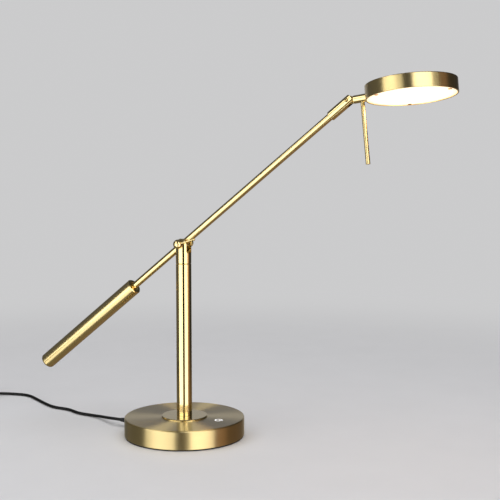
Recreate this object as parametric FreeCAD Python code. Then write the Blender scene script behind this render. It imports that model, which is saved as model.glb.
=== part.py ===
import FreeCAD, Part
import math
import os

# Counterweight balance desk lamp with a disc-shaped LED head, in millimetres.
# Origin: middle of the foot's underside. +Z is up, +X is the way the arm points, and -Y is the
# side of the clamp lever. Five groups of pieces move on each other: the fork turns on the
# column, the arm tilts in the fork, the clamp knob turns on the pivot bolt, the knuckle turns
# about the arm's own axis, and the lamp head tilts on the knuckle's hinge screw.

# ---- driving dimensions -------------------------------------------------------------------

# clearances
SNUG = 0.05             # radial play of a shaft that turns in its bore
SIDE_PLAY = 0.1         # play beside a part that tilts in a slot
FITTED = 0.2            # gap round a cover or disc dropped into a housing

# foot
BASE_DIAMETER = 140.0
PAD_THICKNESS = 1.5
PAD_INSET = 1.0         # how far the pad stays inside the foot's edge
SHELL_HEIGHT = 21.3
SHELL_WALL = 1.5
SHELL_TOP_EDGE = 1.4    # rounding of the upper edge
SHELL_LOW_EDGE = 0.5
SHELL_INNER_CORNER = 1.0
COVER_THICKNESS = 1.2
COVER_SCREW_COUNT = 4
COVER_SCREW_CIRCLE = 112.0
COVER_SCREW_DIAMETER = 3.0
COVER_SCREW_HEAD = 6.0
COVER_SCREW_LENGTH = 9.0
WEIGHT_BORE = 26.0
BALLAST_CHAMFER = 1.0
POCKET_NEAR = 18.0      # where the board's part of the weight's pocket begins
POCKET_WALL = 5.25      # left between the pocket's far corners and the shell
POCKET_WIDTH = 40.0
CHANNEL_WIDTH = 10.0
CHANNEL_HEIGHT = 11.0

# dimmer board and touch contact
BOARD_LENGTH = 36.0
BOARD_WIDTH = 32.0
BOARD_THICKNESS = 1.6
BOARD_STANDOFF = 3.0
TERMINAL_LENGTH = 7.0
TERMINAL_WIDTH = 20.0
TERMINAL_HEIGHT = 6.5
TRANSFORMER = (13.0, 12.0, 9.0)
TRANSFORMER_FROM_END = 5.0
TRANSFORMER_FROM_MIDDLE = 2.0
CAPACITOR_DIAMETER = 7.0
CAPACITOR_HEIGHT = 10.0
CAPACITOR_FROM_END = 10.0
CAPACITOR_FROM_MIDDLE = 9.0
POST_DIAMETER = 3.0
POST_FROM_CORNER = 3.0
POST_ABOVE_BOARD = 1.0
TOUCH_FROM_EDGE = 24.8
TOUCH_DISC_DIAMETER = 14.0
TOUCH_DISC_THICKNESS = 0.5
TOUCH_PIN_DIAMETER = 3.0

# column
PLATE_DIAMETER = 54.0
PLATE_THICKNESS = 1.6
PLATE_BEVEL = 0.8
COLUMN_DIAMETER = 18.0
COLUMN_WALL = 1.2
COLUMN_LENGTH = 174.3
FOOT_RING_HEIGHT = 3.2
SEAM_CHAMFER = 0.25
FOOT_PLUG_LENGTH = 14.0
NIPPLE_DIAMETER = 10.0
NIPPLE_BORE = 7.0
NIPPLE_BELOW_SHELL = 5.9
WASHER_DIAMETER = 22.0
WASHER_THICKNESS = 1.5
NUT_ACROSS_FLATS = 14.0
NUT_HEIGHT = 4.0

# swivel at the column's top
BUSH_LENGTH = 22.0
BUSH_FLANGE = 0.6
BUSH_FLANGE_INSET = 0.35
SPIGOT_DIAMETER = 11.9
SPIGOT_BELOW_CLIP = 2.0
CLIP_THICKNESS = 1.0
CLIP_OUTER_DIAMETER = 14.4
CLIP_GROOVE_DEPTH = 0.75
CLIP_GAP = 4.0
FORK_BORE = 6.0
FORK_BORE_LEAD_END = 18.4

# fork, pivot and clamp
PIVOT_ABOVE_SEAM = 23.3
BALL_BELOW_PIVOT = 1.1  # middle of the fork's ball-shaped top
SLOT_WIDTH = 11.0
SLOT_CORNER = 2.0
SLOT_FRONT_DEPTH = 10.4  # below the pivot, at the front of the fork
SLOT_STOP_GAP = 0.3     # left under the rear rod when the arm is up
BOLT_DIAMETER = 5.0
BOLT_REACH = 14.0       # from the arm's middle plane into the knob
SPOT_FACE_AT = 8.2      # from the arm's middle plane
SPOT_FACE_DIAMETER = 7.8
COLLAR_DIAMETER = 7.2
COLLAR_LENGTH = 0.9
KNOB_CONE = 1.2
KNOB_EDGE = 0.4
KNOB_DIAMETER = 11.0
KNOB_END = 17.4         # from the arm's middle plane
KNOB_DOME = 5.0
CAP_DIAMETER = 10.5
CAP_END = 17.0
CAP_DOME = 4.8
LEVER_DIAMETER = 1.7
LEVER_LENGTH = 22.4     # from the pivot axis to the ball's middle
LEVER_ROOT = 3.0
LEVER_BALL = 3.4
LEVER_FROM_PLANE = 13.0
LEVER_ANGLE = 16.4      # degrees above +X

# arm
ARM_ANGLE = 37.8        # degrees above level, as it stands
ARM_HIGHEST = 45.0
ARM_DIAMETER = 8.0
ARM_WALL = 1.0
HUB_DIAMETER = 11.5
HUB_EDGE = 0.5
WASHER_PAIR_THICKNESS = 0.5
TUBE_FROM_PIVOT = 3.4   # where the tube and the rod end, inside the hub
LEAD_HOLE_FROM = 8.5
LEAD_HOLE_TO = 13.0
LEAD_HOLE_WIDTH = 3.6
PIVOT_TO_HINGE = 258.2
PIVOT_TO_WEIGHT = 87.2
WEIGHT_LENGTH = 167.9
WEIGHT_DIAMETER = 19.0
WEIGHT_BEVEL = 0.9
WEIGHT_SINK = 1.8       # countersink round the rod
WEIGHT_SINK_DIAMETER = 11.8
WEIGHT_END_ROUND = 2.4
ROD_SOCKET_DEPTH = 25.0

# knuckle
SLEEVE_DIAMETER = 10.9
SLEEVE_BACK = 26.0      # from the hinge to the sleeve's lower end
EAR_RADIUS = 5.6        # rounding of the sleeve's two ears about the hinge
SLEEVE_LIP = 0.35
SLEEVE_BORE_END = 9.0   # from the hinge to the bottom of the sleeve's bore
HINGE_SLOT_WIDTH = 3.8
HINGE_SLOT_BACK = 4.2
HINGE_SCREW_DIAMETER = 2.5
HINGE_HEAD_DIAMETER = 4.4
HINGE_HEAD_SEAT = 4.3
HINGE_HEAD_HEIGHT = 1.0
HINGE_DRIVE_SLOT = 0.7
GRUB_FROM_HINGE = 15.0
GRUB_DIAMETER = 2.5
GROOVE_DEPTH = 0.5
GRUB_BELOW_SURFACE = 0.2
TURN_OF_HEAD = -6.8     # degrees about the arm's axis, as it stands

# lamp head
HINGE_BEND = 30.3       # degrees between the arm and the stem, as it stands
TONGUE_WIDTH = 7.6
NECK_END = 6.0
NECK_CONE = 1.0
STEM_DIAMETER = 8.7
STEM_SPIGOT_DIAMETER = 5.5
STEM_SPIGOT_LENGTH = 5.5
STEM_BORE = 2.6
STEM_LEAD_HOLE = 1.3    # from the neck's face, beside the tongue, into the bore
STEM_BORE_START = 10.0
HINGE_TO_HEAD_CENTRE = 71.0
HEAD_DIAMETER = 94.2
HEAD_HEIGHT = 14.7
HEAD_WALL = 1.4
HEAD_TOP = 1.6
HEAD_TOP_EDGE = 0.8
HEAD_RIM_EDGE = 0.3
HEAD_INNER_CORNER = 0.3
ROD_FROM_HINGE = 15.8
ROD_REACH = 69.6        # from the stem's axis to the handle rod's end
ROD_TOP_DIAMETER = 4.3
ROD_END_DIAMETER = 4.8
ROD_TENON = 3.0
TENON_ABOVE_BORE = 0.4
ROD_LEAN = 1.1          # degrees towards the head
ROD_EDGE = 0.35
STEM_NUT_FLATS = 8.0
STEM_NUT_HEIGHT = 2.6
BOSS_DIAMETER = 5.2
SCREW_CIRCLE = 83.6
SCREW_COUNT = 3
SPREADER_THICKNESS = 2.0
LED_BOARD_THICKNESS = 1.2
LED_RINGS = ((6, 26.0), (12, 48.0), (18, 70.0))   # how many, and the circle they stand on
LED_SIDE = 3.0
LED_HEIGHT = 0.7
NOTCH_WIDTH = 16.0
NOTCH_DEPTH = 10.0
DIFFUSER_THICKNESS = 2.0
DIFFUSER_RECESS = 0.6
DIFFUSER_EDGE = 0.3
SCREW_SHANK = 2.2
SCREW_HEAD = 4.2
SCREW_TURN = -3.5       # degrees that the first screw stands from the stem's line
SCREW_HEAD_HEIGHT = 0.6
SCREW_HEAD_EDGE = 0.35
SCREW_LENGTH = 6.0

# mains cord, its strain relief, coil and plug
CORD_DIAMETER = 3.6
CORD_HEIGHT = 7.5       # of the exit, above the table
RELIEF_TIP = 90.0       # from the foot's axis
RELIEF_ROOT_DIAMETER = 7.6
RELIEF_ROOT_LENGTH = 2.5
RELIEF_ROOT_ROUND = 4.0
RELIEF_TIP_DIAMETER = 4.6
RELIEF_NECK = 6.2
RELIEF_FLANGE = 9.0
RELIEF_FLANGE_LENGTH = 2.0
LEAD_DIAMETER = 2.8     # from the strain relief to the board
LEAD_ABOVE_BOARD = 2.5  # height of the leads at the terminal block
LEAD_SIDE = 6.5         # how far the mains lead stands from the middle there
HEAD_LEAD_DIAMETER = 2.0
TIE_THICKNESS = 0.6
TIE_WIDTH = 5.0
TIE_GAP = 0.3
TIE_TURN = 190.0        # degrees round the coil from its start
COIL_INNER_RADIUS = 14.6
COIL_STEP = 4.75        # from one turn to the next
COIL_LAYER_STEP = 4.5
COIL_LAYERS = 4
COIL_HALF_TURNS = 5     # in each layer; the last one ends a quarter turn earlier
PLUG_LENGTH = 36.0
PLUG_WIDTH = 35.3
PLUG_HEIGHT = 13.7
PLUG_CORNER = 5.5
PLUG_NECK = 6.4
PIN_DIAMETER = 4.0
PIN_LENGTH = 19.0
PIN_TIP_ROUND = 1.4
PIN_SPACING = 18.6

# ---- sizes that follow ---------------------------------------------------------------------

ORIGIN = FreeCAD.Vector(0, 0, 0)
X = FreeCAD.Vector(1, 0, 0)
Y = FreeCAD.Vector(0, 1, 0)
Z = FreeCAD.Vector(0, 0, 1)

BASE_RADIUS = BASE_DIAMETER / 2
BASE_TOP = PAD_THICKNESS + SHELL_HEIGHT
SHELL_CEILING = BASE_TOP - SHELL_WALL
SHELL_INSIDE = BASE_RADIUS - SHELL_WALL
COVER_TOP = PAD_THICKNESS + COVER_THICKNESS
PLATE_TOP = BASE_TOP + PLATE_THICKNESS
COLUMN_RADIUS = COLUMN_DIAMETER / 2
COLUMN_BORE_RADIUS = COLUMN_RADIUS - COLUMN_WALL
COLUMN_BOTTOM = PLATE_TOP + FOOT_RING_HEIGHT
COLUMN_TOP = COLUMN_BOTTOM + COLUMN_LENGTH
NIPPLE_RADIUS = NIPPLE_DIAMETER / 2
FLANGE_TOP = COLUMN_TOP + BUSH_FLANGE
BUSH_BOTTOM = COLUMN_TOP - BUSH_LENGTH
CLIP_TOP = BUSH_BOTTOM - SNUG
PIVOT_HEIGHT = COLUMN_TOP + PIVOT_ABOVE_SEAM
BALL_HEIGHT = PIVOT_HEIGHT - BALL_BELOW_PIVOT
ARM_RADIUS = ARM_DIAMETER / 2
BOARD_BOTTOM = COVER_TOP + BOARD_STANDOFF
BOARD_TOP = BOARD_BOTTOM + BOARD_THICKNESS
POCKET_FAR = math.sqrt((SHELL_INSIDE - POCKET_WALL) ** 2 - (POCKET_WIDTH / 2) ** 2)
BOARD_MIDDLE_X = (POCKET_NEAR + POCKET_FAR) / 2
HUB_HALF = SLOT_WIDTH / 2 - SIDE_PLAY - WASHER_PAIR_THICKNESS
SLEEVE_RADIUS = SLEEVE_DIAMETER / 2
TUBE_END = PIVOT_TO_HINGE - SLEEVE_BORE_END - FITTED
STEM_RADIUS = STEM_DIAMETER / 2
HEAD_RADIUS = HEAD_DIAMETER / 2
HEAD_INSIDE = HEAD_RADIUS - HEAD_WALL
HEAD_HALF = HEAD_HEIGHT / 2
HEAD_CEILING = HEAD_HALF - HEAD_TOP
SPREADER_LOW = HEAD_CEILING - SPREADER_THICKNESS
LED_BOARD_LOW = SPREADER_LOW - LED_BOARD_THICKNESS
DIFFUSER_LOW = DIFFUSER_RECESS - HEAD_HALF
DIFFUSER_HIGH = DIFFUSER_LOW + DIFFUSER_THICKNESS
CORD_RADIUS = CORD_DIAMETER / 2
COIL_OUTER_RADIUS = COIL_INNER_RADIUS + COIL_STEP * COIL_HALF_TURNS / 2
COIL_LOW = TIE_THICKNESS + CORD_RADIUS

# The cord's way over the table, from the strain relief's tip to its last bend before the coil.
CORD_ROUTE = [
    (-RELIEF_TIP, 0.0, CORD_HEIGHT),
    (-101.0, 0.0, CORD_HEIGHT),
    (-114.0, 6.0, 5.6),
    (-132.0, 15.6, 3.0),
    (-150.0, 19.2, CORD_RADIUS),
    (-172.0, 20.4, CORD_RADIUS),
    (-192.0, 31.0, CORD_RADIUS),
    (-217.0, 30.0, CORD_RADIUS),
    (-242.0, 42.0, CORD_RADIUS),
    (-268.0, 57.0, CORD_RADIUS),
    (-292.0, 69.5, CORD_RADIUS),
    (-315.0, 65.5, CORD_RADIUS),
    (-337.0, 54.5, COIL_LOW),
]
COIL_HEADING = 205.0    # degrees, the way the cord goes into the coil
LAST_RUN = 20.0         # from the last bend to the coil
TAIL_RUNS = (15.0, 23.0, 15.0)   # lengths on the table of the cord's last stretch, to the plug


# ---- building helpers ----------------------------------------------------------------------

def vec(x, y, z):
    return FreeCAD.Vector(x, y, z)


def unit(vector):
    return vector * (1 / vector.Length)


def turned_about(axis, degrees):
    return FreeCAD.Placement(ORIGIN, FreeCAD.Rotation(axis, degrees))


def placed(shape, placement):
    """A copy of the shape, moved by the placement."""
    copy = shape.copy()
    copy.Placement = placement.multiply(copy.Placement)
    return copy


def along_x(shape):
    """Lays a shape that stands on Z along +X."""
    return placed(shape, turned_about(Y, 90))


def along_y(shape):
    """Lays a shape that stands on Z along +Y."""
    return placed(shape, turned_about(X, -90))


def flipped(shape):
    """Mirrors a shape by half a turn about Z."""
    return placed(shape, turned_about(Z, 180))


def rod(radius, start, end, axis=Z):
    """A round bar along an axis, from one distance to another."""
    return Part.makeCylinder(radius, end - start, axis * start, axis)


def outline(corners):
    """Closed wire through (x, z) corners; a third number rounds that corner to that radius."""
    stops = []
    for index, corner in enumerate(corners):
        here = vec(corner[0], 0, corner[1])
        radius = corner[2] if len(corner) > 2 else 0
        last = corners[index - 1]
        following = corners[(index + 1) % len(corners)]
        back = unit(vec(last[0], 0, last[1]) - here)
        on = unit(vec(following[0], 0, following[1]) - here)
        half = back.getAngle(on) / 2
        reach = radius / math.tan(half)
        middle = here + unit(back + on) * (radius / math.sin(half) - radius) if radius else None
        stops.append((here + back * reach, middle, here + on * reach))
    edges = []
    for index, (start, middle, end) in enumerate(stops):
        following = stops[(index + 1) % len(stops)][0]
        if middle:
            edges.append(Part.Arc(start, middle, end).toShape())
        if (following - end).Length > 1e-6:
            edges.append(Part.LineSegment(end, following).toShape())
    return Part.Wire(edges)


def turned(corners):
    """Lathe-turned solid: an outline of (radius, height) corners swept about Z."""
    return Part.Face(outline(corners)).revolve(ORIGIN, Z, 360)


def ring(outer, inner, low, high, chamfer=0.0):
    """Turned ring or tube, with its outer edges broken when a chamfer is given."""
    if chamfer:
        corners = [(inner, low), (outer - chamfer, low), (outer, low + chamfer)]
        corners += [(outer, high - chamfer), (outer - chamfer, high), (inner, high)]
        return turned(corners)
    return turned([(inner, low), (outer, low), (outer, high), (inner, high)])


def box(low, high):
    """Block between two corners."""
    size = [b - a for a, b in zip(low, high)]
    return Part.makeBox(*size, vec(*low))


def hexagon(across_flats, low, high):
    """Hexagonal prism on Z with two flats facing +Y and -Y."""
    corner = across_flats / math.sqrt(3)
    points = []
    for k in range(7):
        angle = math.radians(60 * k)
        points.append(vec(corner * math.cos(angle), corner * math.sin(angle), low))
    return Part.Face(Part.makePolygon(points)).extrude(Z * (high - low))


def round_pattern(shape, count, first=0.0):
    """Copies of a shape, evenly spaced about Z."""
    return [placed(shape, turned_about(Z, first + 360 * k / count)) for k in range(count)]


def joined(shapes):
    """One solid fused from several."""
    return shapes[0].fuse(shapes[1:]).removeSplitter()


def group(shapes):
    """Separate solids kept together in one piece list entry."""
    return Part.makeCompound(shapes)


def knob_outline(diameter, end, dome, bore=0.0, bore_end=0.0):
    """Domed knob on a collar, from the fork's spot face outwards."""
    radius = diameter / 2
    neck = SPOT_FACE_AT + COLLAR_LENGTH
    corners = [(COLLAR_DIAMETER / 2, SPOT_FACE_AT), (COLLAR_DIAMETER / 2, neck)]
    corners += [(radius, neck + KNOB_CONE, KNOB_EDGE), (radius, end, dome), (0, end)]
    if bore:
        return [(bore, SPOT_FACE_AT)] + corners + [(0, bore_end), (bore, bore_end)]
    return [(0, SPOT_FACE_AT)] + corners


# ---- foot ----------------------------------------------------------------------------------

def foot_pad():
    return rod(BASE_RADIUS - PAD_INSET, 0, PAD_THICKNESS)


def screw_places():
    """One cover screw as a cutter or a solid, for the pattern round the foot."""
    shank = rod(COVER_SCREW_DIAMETER / 2, PAD_THICKNESS, PAD_THICKNESS + COVER_SCREW_LENGTH)
    head = Part.makeCone(
        COVER_SCREW_HEAD / 2, COVER_SCREW_DIAMETER / 2, COVER_THICKNESS, vec(0, 0, PAD_THICKNESS)
    )
    screw = joined([shank, head])
    screw.translate(vec(COVER_SCREW_CIRCLE / 2, 0, 0))
    return round_pattern(screw, COVER_SCREW_COUNT, 180 / COVER_SCREW_COUNT)


def bottom_cover():
    disc = rod(SHELL_INSIDE - FITTED, PAD_THICKNESS, COVER_TOP)
    return disc.cut(screw_places())


def cover_screws():
    return group(screw_places())


def base_shell():
    """Drawn cup, open below, with holes for the column's nipple and the cord."""
    corners = [(NIPPLE_RADIUS, SHELL_CEILING), (SHELL_INSIDE, SHELL_CEILING, SHELL_INNER_CORNER)]
    corners += [(SHELL_INSIDE, PAD_THICKNESS), (BASE_RADIUS, PAD_THICKNESS, SHELL_LOW_EDGE)]
    corners += [(BASE_RADIUS, BASE_TOP, SHELL_TOP_EDGE), (NIPPLE_RADIUS, BASE_TOP)]
    cord_hole = rod(RELIEF_NECK / 2, -BASE_DIAMETER, 0, X)
    cord_hole.translate(vec(0, 0, CORD_HEIGHT))
    return turned(corners).cut(cord_hole)


def base_weight():
    """Cast iron ballast with a pocket for the dimmer board and a channel for the cord."""
    blank = ring(SHELL_INSIDE - FITTED, WEIGHT_BORE / 2, COVER_TOP, SHELL_CEILING, BALLAST_CHAMFER)
    half = POCKET_WIDTH / 2
    pocket = box((0, -half, 0), (POCKET_FAR, half, BASE_TOP))
    channel_top = COVER_TOP + CHANNEL_HEIGHT
    channel = box((-BASE_RADIUS, -CHANNEL_WIDTH / 2, 0), (0, CHANNEL_WIDTH / 2, channel_top))
    return blank.cut([pocket, channel] + screw_places())


def dimmer_board():
    """Circuit board on four posts, with its terminal block, transformer and capacitor."""
    near = BOARD_MIDDLE_X - BOARD_LENGTH / 2
    far = BOARD_MIDDLE_X + BOARD_LENGTH / 2
    half = BOARD_WIDTH / 2
    pieces = [box((near, -half, BOARD_BOTTOM), (far, half, BOARD_TOP))]
    for x in (near + POST_FROM_CORNER, far - POST_FROM_CORNER):
        for y in (POST_FROM_CORNER - half, half - POST_FROM_CORNER):
            post = rod(POST_DIAMETER / 2, COVER_TOP, BOARD_TOP + POST_ABOVE_BOARD)
            post.translate(vec(x, y, 0))
            pieces.append(post)
    terminal_top = BOARD_TOP + TERMINAL_HEIGHT
    low = (near, -TERMINAL_WIDTH / 2, BOARD_TOP)
    pieces.append(box(low, (near + TERMINAL_LENGTH, TERMINAL_WIDTH / 2, terminal_top)))
    length, width, height = TRANSFORMER
    low = (far - TRANSFORMER_FROM_END - length, TRANSFORMER_FROM_MIDDLE, BOARD_TOP)
    pieces.append(box(low, (low[0] + length, low[1] + width, BOARD_TOP + height)))
    capacitor = rod(CAPACITOR_DIAMETER / 2, BOARD_TOP, BOARD_TOP + CAPACITOR_HEIGHT)
    capacitor.translate(vec(far - CAPACITOR_FROM_END, -CAPACITOR_FROM_MIDDLE, 0))
    pieces.append(capacitor)
    return joined(pieces)


def touch_contact():
    """Sensing disc under the shell's top, on a pin that stands on the board."""
    disc_low = SHELL_CEILING - TOUCH_DISC_THICKNESS
    disc = rod(TOUCH_DISC_DIAMETER / 2, disc_low, SHELL_CEILING)
    pin = rod(TOUCH_PIN_DIAMETER / 2, BOARD_TOP, disc_low)
    contact = joined([disc, pin])
    contact.translate(vec(BASE_RADIUS - TOUCH_FROM_EDGE, 0, 0))
    return contact


def strain_relief():
    """Tapered moulding round the cord, with a neck through the shell and a flange behind it."""
    taper = turned([
        (0, BASE_RADIUS - SHELL_WALL),
        (RELIEF_ROOT_DIAMETER / 2, BASE_RADIUS - SHELL_WALL),
        (RELIEF_ROOT_DIAMETER / 2, BASE_RADIUS + RELIEF_ROOT_LENGTH, RELIEF_ROOT_ROUND),
        (RELIEF_TIP_DIAMETER / 2, RELIEF_TIP),
        (0, RELIEF_TIP),
    ])
    flange_start = SHELL_INSIDE - RELIEF_FLANGE_LENGTH
    flange = rod(RELIEF_FLANGE / 2, flange_start, BASE_RADIUS)
    neck = rod(RELIEF_NECK / 2, flange_start, BASE_RADIUS + 1)
    lay_down = FreeCAD.Placement(vec(0, 0, CORD_HEIGHT), FreeCAD.Rotation(Y, -90))
    foot_outside = rod(BASE_RADIUS, 0, BASE_TOP)
    foot_inside = rod(SHELL_INSIDE, 0, BASE_TOP)
    outside = placed(taper, lay_down).cut(foot_outside)
    inside = placed(flange, lay_down).common(foot_inside)
    return joined([placed(neck, lay_down), outside, inside])


# ---- column --------------------------------------------------------------------------------

def centre_plate():
    radius = PLATE_DIAMETER / 2
    return turned([
        (NIPPLE_RADIUS, BASE_TOP),
        (radius, BASE_TOP),
        (radius, PLATE_TOP - PLATE_BEVEL),
        (radius - PLATE_BEVEL, PLATE_TOP),
        (NIPPLE_RADIUS, PLATE_TOP),
    ])


def foot_ring():
    return ring(COLUMN_RADIUS, NIPPLE_RADIUS, PLATE_TOP, COLUMN_BOTTOM, SEAM_CHAMFER)


def column_tube():
    return ring(COLUMN_RADIUS, COLUMN_BORE_RADIUS, COLUMN_BOTTOM, COLUMN_TOP, SEAM_CHAMFER)


def column_foot_plug():
    top = COLUMN_BOTTOM + FOOT_PLUG_LENGTH
    return ring(COLUMN_BORE_RADIUS, NIPPLE_RADIUS, COLUMN_BOTTOM, top)


def column_nipple():
    low = SHELL_CEILING - NIPPLE_BELOW_SHELL
    return ring(NIPPLE_RADIUS, NIPPLE_BORE / 2, low, COLUMN_BOTTOM + FOOT_PLUG_LENGTH)


def nipple_washer():
    low = SHELL_CEILING - WASHER_THICKNESS
    return ring(WASHER_DIAMETER / 2, NIPPLE_RADIUS, low, SHELL_CEILING)


def nipple_nut():
    high = SHELL_CEILING - WASHER_THICKNESS
    return hexagon(NUT_ACROSS_FLATS, high - NUT_HEIGHT, high).cut(rod(NIPPLE_RADIUS, 0, high))


def swivel_bush():
    """Bearing pressed into the tube; its flange shows as the fine seam under the fork."""
    bore = SPIGOT_DIAMETER / 2 + SNUG
    flange = COLUMN_RADIUS - BUSH_FLANGE_INSET
    return turned([
        (bore, BUSH_BOTTOM),
        (COLUMN_BORE_RADIUS, BUSH_BOTTOM),
        (COLUMN_BORE_RADIUS, COLUMN_TOP),
        (flange, COLUMN_TOP),
        (flange, FLANGE_TOP),
        (bore, FLANGE_TOP),
    ])


# ---- fork, pivot bolt and clamp ------------------------------------------------------------

def slot_cutter():
    """Milled slot with rounded corners; its floor falls towards the back for the rear rod."""
    steepest = math.radians(ARM_HIGHEST)
    rod_drop = COLUMN_RADIUS * math.tan(steepest) + ARM_RADIUS / math.cos(steepest)
    back_depth = rod_drop + SLOT_STOP_GAP
    fall = math.atan2(back_depth - SLOT_FRONT_DEPTH, COLUMN_DIAMETER)
    half = SLOT_WIDTH / 2
    low = -(SLOT_FRONT_DEPTH + back_depth) / 2 * math.cos(fall)
    section = outline([
        (-half, low, SLOT_CORNER),
        (half, low, SLOT_CORNER),
        (half, COLUMN_DIAMETER),
        (-half, COLUMN_DIAMETER),
    ])
    section.rotate(ORIGIN, Z, 90)
    section.translate(X * -COLUMN_DIAMETER)
    cutter = Part.Face(section).extrude(X * (2 * COLUMN_DIAMETER))
    cutter.rotate(ORIGIN, Y, -math.degrees(fall))
    cutter.translate(Z * PIVOT_HEIGHT)
    return cutter


def fork_head():
    """Turned head with a ball-shaped top, slotted for the arm, on a spigot that turns."""
    spigot = SPIGOT_DIAMETER / 2
    groove = spigot - CLIP_GROOVE_DEPTH
    clip_low = CLIP_TOP - CLIP_THICKNESS
    shoulder = FLANGE_TOP + SNUG
    corners = [(0, clip_low - SPIGOT_BELOW_CLIP), (spigot, clip_low - SPIGOT_BELOW_CLIP)]
    corners += [(spigot, clip_low), (groove, clip_low), (groove, CLIP_TOP), (spigot, CLIP_TOP)]
    corners += [(spigot, shoulder), (COLUMN_RADIUS - SEAM_CHAMFER, shoulder)]
    corners += [(COLUMN_RADIUS, shoulder + SEAM_CHAMFER), (COLUMN_RADIUS, BALL_HEIGHT)]
    corners += [(0, BALL_HEIGHT)]
    ball = Part.makeSphere(COLUMN_RADIUS, vec(0, 0, BALL_HEIGHT))
    upper_half = box(
        (-COLUMN_DIAMETER, -COLUMN_DIAMETER, BALL_HEIGHT),
        (COLUMN_DIAMETER, COLUMN_DIAMETER, BALL_HEIGHT + COLUMN_DIAMETER),
    )
    blank = joined([turned(corners), ball.common(upper_half)])
    lead_bore = rod(FORK_BORE / 2, 0, PIVOT_HEIGHT)
    bolt_hole = rod(BOLT_DIAMETER / 2, -COLUMN_DIAMETER, COLUMN_DIAMETER, Y)
    spot_faces = [
        rod(SPOT_FACE_DIAMETER / 2, SPOT_FACE_AT, COLUMN_DIAMETER, Y),
        rod(SPOT_FACE_DIAMETER / 2, SPOT_FACE_AT, COLUMN_DIAMETER, -Y),
    ]
    for cutter in [bolt_hole] + spot_faces:
        cutter.translate(Z * PIVOT_HEIGHT)
    return blank.cut([slot_cutter(), lead_bore, bolt_hole] + spot_faces)


def swivel_clip():
    """Spring ring in the spigot's groove, under the bush."""
    groove = SPIGOT_DIAMETER / 2 - CLIP_GROOVE_DEPTH
    clip = ring(CLIP_OUTER_DIAMETER / 2, groove, CLIP_TOP - CLIP_THICKNESS, CLIP_TOP)
    gap = box((0, -CLIP_GAP / 2, 0), (COLUMN_DIAMETER, CLIP_GAP / 2, PIVOT_HEIGHT))
    return clip.cut(gap)


def pivot_bolt():
    """Bolt along Y with its domed head on the far side of the fork."""
    head = along_y(turned(knob_outline(CAP_DIAMETER, CAP_END, CAP_DOME)))
    shank = rod(BOLT_DIAMETER / 2, -BOLT_REACH, SPOT_FACE_AT, Y)
    bolt = joined([head, shank])
    bolt.translate(Z * PIVOT_HEIGHT)
    return bolt


def lever_direction():
    angle = math.radians(LEVER_ANGLE)
    return vec(math.cos(angle), 0, math.sin(angle))


def clamp_lever():
    """Thin bar with a ball end, screwed into the side of the knob."""
    direction = lever_direction()
    foot = vec(0, -LEVER_FROM_PLANE, PIVOT_HEIGHT)
    start = foot + direction * LEVER_ROOT
    bar = Part.makeCylinder(LEVER_DIAMETER / 2, LEVER_LENGTH - LEVER_ROOT, start, direction)
    ball = Part.makeSphere(LEVER_BALL / 2, foot + direction * LEVER_LENGTH)
    return joined([bar, ball])


def clamp_knob():
    """Domed knob that draws the fork's ears together."""
    bore = BOLT_DIAMETER / 2 + SNUG
    corners = knob_outline(KNOB_DIAMETER, KNOB_END, KNOB_DOME, bore, BOLT_REACH + FITTED)
    knob = flipped(along_y(turned(corners)))
    knob.translate(vec(0, -SNUG, PIVOT_HEIGHT))
    return knob.cut(clamp_lever())


# ---- arm: built along +X from the pivot, then tilted ----------------------------------------

ARM_PLACE = FreeCAD.Placement(vec(0, 0, PIVOT_HEIGHT), FreeCAD.Rotation(Y, -ARM_ANGLE))


def arm_hub():
    """Barrel between the ears, bored for the bolt and, crosswise, for the tube and the rod."""
    half = HUB_HALF
    radius = HUB_DIAMETER / 2
    bore = BOLT_DIAMETER / 2 + SNUG
    corners = [(bore, -half), (radius, -half, HUB_EDGE), (radius, half, HUB_EDGE), (bore, half)]
    barrel = along_y(turned(corners))
    sockets = [
        rod(ARM_RADIUS, TUBE_FROM_PIVOT, HUB_DIAMETER, X),
        rod(ARM_RADIUS, TUBE_FROM_PIVOT, HUB_DIAMETER, -X),
    ]
    return placed(barrel.cut(sockets), ARM_PLACE)


def friction_washers():
    bore = BOLT_DIAMETER / 2 + SNUG
    outer = HUB_DIAMETER / 2 - HUB_EDGE
    washer = along_y(ring(outer, bore, HUB_HALF, HUB_HALF + WASHER_PAIR_THICKNESS))
    return placed(group([washer, flipped(washer)]), ARM_PLACE)


def arm_tube():
    """Front tube with a hole below for the lead and a groove for the knuckle's grub screw."""
    tube = rod(ARM_RADIUS, TUBE_FROM_PIVOT, TUBE_END, X)
    bore = rod(ARM_RADIUS - ARM_WALL, TUBE_FROM_PIVOT, TUBE_END, X)
    groove_middle = PIVOT_TO_HINGE - GRUB_FROM_HINGE
    groove_half = GRUB_DIAMETER / 2 + SIDE_PLAY
    groove = ring(
        ARM_DIAMETER, ARM_RADIUS - GROOVE_DEPTH, groove_middle - groove_half, groove_middle + groove_half
    )
    half = LEAD_HOLE_WIDTH / 2
    lead_hole = box((LEAD_HOLE_FROM, -half, -ARM_DIAMETER), (LEAD_HOLE_TO, half, 0))
    return placed(tube.cut([bore, along_x(groove), lead_hole]), ARM_PLACE)


def rear_rod():
    bar = rod(ARM_RADIUS, TUBE_FROM_PIVOT, PIVOT_TO_WEIGHT + ROD_SOCKET_DEPTH, -X)
    return placed(bar, ARM_PLACE)


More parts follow.
